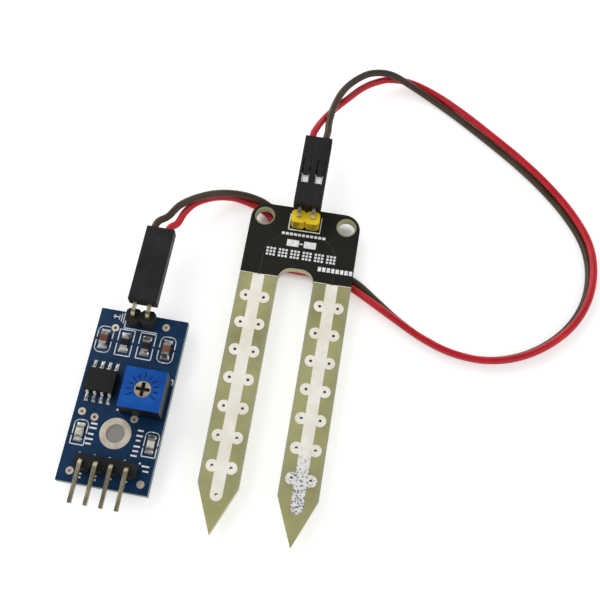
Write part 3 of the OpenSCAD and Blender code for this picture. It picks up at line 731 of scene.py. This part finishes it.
def end_fillet(x, y_cap, y_out, tall, half_w=0.78):
    """Solder from a part's end at y_cap out to the pad's edge at y_out."""

    def height(u, v):
        return 0.04 + (tall - 0.04) * (1 - v) ** 1.7 * rounded(u)

    s = 1 if y_out > y_cap else -1
    joints.add(x - s * half_w, x + s * half_w, y_cap, y_out, BOARD_T, height)


def toe(u, v):
    """Solder over the foot of a chip's lead."""
    return 0.03 + 0.3 * rounded(u) * math.sin(math.pi * min(1.0, 0.25 + 0.75 * v)) ** 0.8


for s in (1, -1):
    for x, kind in SMALL:
        end_fillet(x, SMALL_Y + s * 0.98, SMALL_Y + s * 1.8, 0.7 if kind == "round" else 0.42)
    for x, y in LIGHTS_AT:
        end_fillet(x, y + s * 0.98, y + s * 1.6, 0.34, 0.7)
    for k in (-1.5, -0.5, 0.5, 1.5):
        x, y = CHIP_AT[0] + k * PITCH / 2, CHIP_AT[1]
        joints.add(x - s * 0.31, x + s * 0.31, y + s * 2.45, y + s * 3.65, BOARD_T, toe)
joints.make("surface_solder", "solder", "comparator_module", "solder")

# ---- light-emitting diodes: a domed lens on the carrier ----


def dome(name, node, x, y):
    """A lens: square with rounded corners from above, and domed."""
    verts, faces = [], []
    rings, sides = 7, 28
    z0, w, h = BOARD_T + 0.45, 0.6, 0.42
    for i in range(rings):
        a = math.pi / 2 * i / (rings - 1)
        r, z = w * math.cos(a) ** 0.45, h * math.sin(a) ** 0.8
        for k in range(sides):
            b = 2 * math.pi * k / sides
            c, s = math.cos(b), math.sin(b)
            sq = 1 / (abs(c) ** 5 + abs(s) ** 5) ** 0.2
            verts.append(module(x + r * c * sq, y + r * s * sq, z0 + z))
    for i in range(rings - 1):
        for k in range(sides):
            a, b = i * sides + k, i * sides + (k + 1) % sides
            faces.append((a, b, b + sides, a + sides))
    faces.append(tuple(range(sides - 1, -1, -1)))
    obj = piece(name, verts, faces, "led_lens", "comparator_module")
    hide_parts(node)


dome("power_lens", "power_led_lens", *LIGHTS_AT[0])
dome("output_lens", "output_led_lens", *LIGHTS_AT[1])

# ---- trimmer: the scale round its rotor ----

scale = Print(module, TRIMMER_TOP, 0.02)
cx, cy = TRIMMER_AT
for k in range(11):
    a = math.radians(-120 + 24 * k + 90)
    long = 1.0 if k in (0, 5, 10) else 0.75
    scale.line([(cx + 1.85 * math.cos(a), cy + 1.85 * math.sin(a)),
                (cx + (1.85 + long) * math.cos(a), cy + (1.85 + long) * math.sin(a))], 0.19)
scale.make("trimmer_scale", "scale_ink", "comparator_module")

# ---- studio ----


def under(n, at, half_w, half_l):
    """One under a board of this size, in mm, falling to zero at its edges."""
    x, y, _ = n.apart(n.place)
    far = n.math("ABSOLUTE", n.math("SUBTRACT", x, at.x))
    along = n.math("ABSOLUTE", n.math("SUBTRACT", y, at.y))
    return n.math("MULTIPLY", n.span(far, (half_w - 1.2) * MM, half_w * MM, 1.0, 0.0),
                  n.span(along, (half_l - 1.2) * MM, half_l * MM, 1.0, 0.0))


def stage_sheet():
    """The pale floor, which rises behind the part."""
    verts, faces = [], []
    rows = [(-1.2, 0), (-0.4, 0), (0, 0), (0.4, 0), (0.9, 0), (1.15, 0.03), (1.35, 0.12), (1.5, 0.3), (1.55, 0.9)]
    for y, z in rows:
        verts += [Vector((-2, y, z - 0.00002)), Vector((2, y, z - 0.00002))]
    for i in range(len(rows) - 1):
        faces.append((2 * i, 2 * i + 1, 2 * i + 3, 2 * i + 2))
    n = Nodes("backdrop")
    tone = n.mix(n.noise(3, 2), (0.78, 0.78, 0.78, 1), (0.81, 0.81, 0.805, 1))
    # the sheet's glow hides soft shadows round the part; under the two boards it is mostly left out, a painted
    # shadow on the floor there
    painted_shadow_under_boards = n.math("MAXIMUM", under(n, MODULE_AT, 7.0, 14.0), under(n, probe(0, -6.6, 0), 9.6, 6.3))
    glow = n.span(painted_shadow_under_boards, 0.0, 1.0, 0.44, 0.088)
    look = n.finish(tone, 0.9, Emission_Color=(1, 1, 1, 1), Emission_Strength=glow)
    mesh = bpy.data.meshes.new("backdrop")
    mesh.from_pydata([tuple(v) for v in verts], [], faces)
    obj = bpy.data.objects.new("backdrop", mesh)
    bpy.context.scene.collection.objects.link(obj)
    obj.data.materials.append(look)


def area(name, at, aim, size, power):
    light = bpy.data.lights.new(name, "AREA")
    light.shape = "RECTANGLE"
    light.size, light.size_y = size
    light.energy = power
    obj = bpy.data.objects.new(name, light)
    obj.location = at
    obj.rotation_mode = "QUATERNION"
    obj.rotation_quaternion = (Vector(aim) - Vector(at)).to_track_quat("-Z", "Y")
    bpy.context.scene.collection.objects.link(obj)


stage_sheet()
area("key", (-0.5, 0.3, 0.5), (0.02, 0.0, 0), (0.7, 0.7), 2.4)
area("fill", (0.55, -0.2, 0.42), (0.02, 0.0, 0), (0.7, 0.7), 0.8)
world = bpy.data.worlds.new("world")
bpy.context.scene.world = world
world.use_nodes = True
sky = world.node_tree
at = sky.nodes.new("ShaderNodeTexCoord")
parts = sky.nodes.new("ShaderNodeSeparateXYZ")
ramp = sky.nodes.new("ShaderNodeMapRange")
sky.links.new(at.outputs["Generated"], parts.inputs[0])
sky.links.new(parts.outputs["Z"], ramp.inputs["Value"])
for key, value in (("From Min", 0.7), ("From Max", 0.92), ("To Min", 0.95), ("To Max", 0.12)):
    ramp.inputs[key].default_value = value
sky.links.new(ramp.outputs["Result"], sky.nodes["Background"].inputs["Strength"])
sky.nodes["Background"].inputs["Color"].default_value = (1, 1, 1, 1)
bpy.context.scene.view_settings.view_transform = "Standard"
